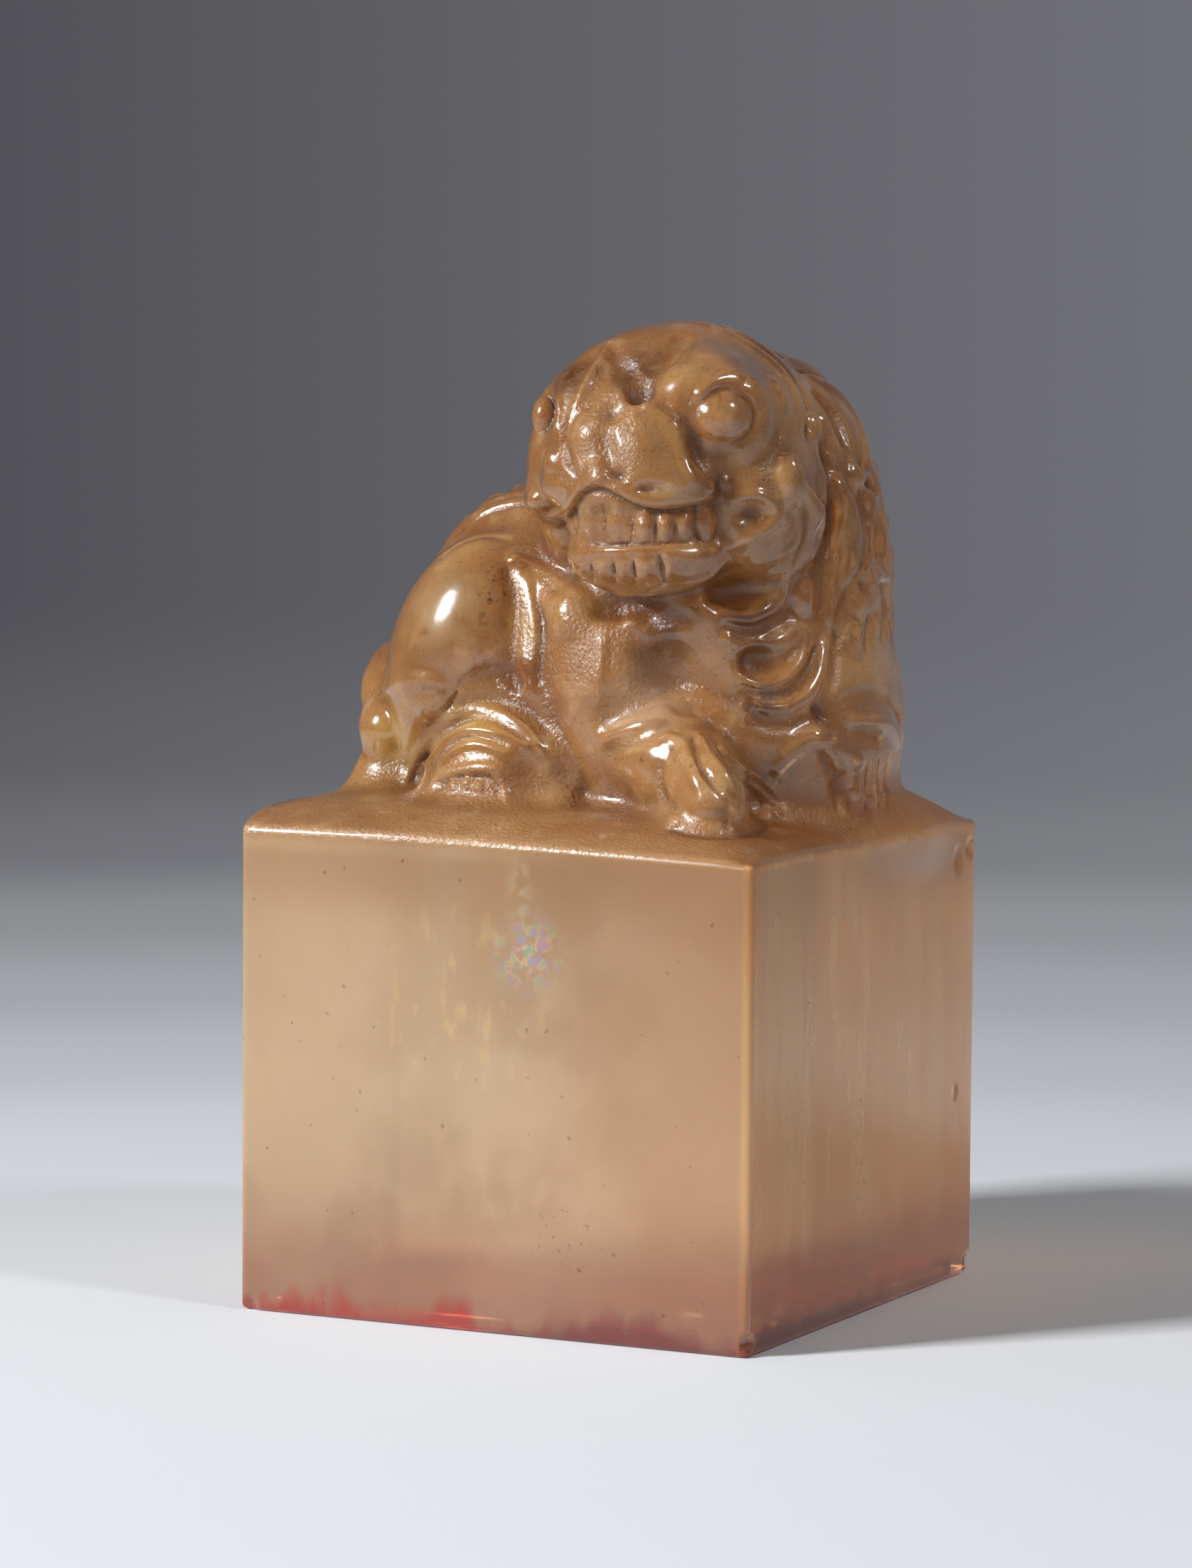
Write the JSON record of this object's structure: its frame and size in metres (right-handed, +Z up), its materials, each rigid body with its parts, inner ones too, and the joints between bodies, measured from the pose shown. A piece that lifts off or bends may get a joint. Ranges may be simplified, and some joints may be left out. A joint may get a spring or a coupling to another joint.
{
  "type": "seal stamp",
  "caption": "Square stone seal stamp with a crouching lion carved as its handle and a carved printing face with dried red paste.",
  "frame": {"origin": "centre of the square printing face, on the surface that the seal stands on", "axes": "+Z up through the lion's head, -Y out of the front side that the lion's face looks over, +X towards the lion's chest"},
  "size_m": [0.0302, 0.03, 0.0531],
  "materials": {
    "polished_stone": "polished translucent honey quartz stone",
    "carved_stone": "polished amber stone with matt worn hollows",
    "pasted_stone": "stone stained by red seal paste",
    "vermilion_paste": "dried oily vermilion paste"
  },
  "bodies": {
    "root": {"chest": "carved_stone", "face": "carved_stone", "face_frame": "pasted_stone", "face_spirals": "pasted_stone", "ledge": "carved_stone", "left_brow": "carved_stone", "left_cheek": "carved_stone", "left_ear": "carved_stone", "left_eye": "carved_stone", "left_foreleg": "carved_stone", "left_forepaw": "carved_stone", "left_haunch": "carved_stone", "left_hind_foot": "carved_stone", "left_shoulder": "carved_stone", "lower_jaw": "carved_stone", "lower_teeth": "carved_stone", "muzzle": "carved_stone", "nape_locks": "carved_stone", "nape_mane": "carved_stone", "neck": "carved_stone", "nose": "carved_stone", "right_brow": "carved_stone", "right_cheek": "carved_stone", "right_ear": "carved_stone", "right_eye": "carved_stone", "right_foreleg": "carved_stone", "right_forepaw": "carved_stone", "right_haunch": "carved_stone", "right_hind_foot": "carved_stone", "right_shoulder": "carved_stone", "rump": "carved_stone", "seal_block": "polished_stone", "side_locks": "carved_stone", "side_mane": "carved_stone", "skull": "carved_stone", "spine_beads": "carved_stone", "tail": "carved_stone", "tail_heel": "carved_stone", "tail_knob": "carved_stone", "throat_curls": "carved_stone", "torso": "carved_stone", "upper_teeth": "carved_stone", "vermilion_paste": "vermilion_paste"}
  },
  "joints": []
}
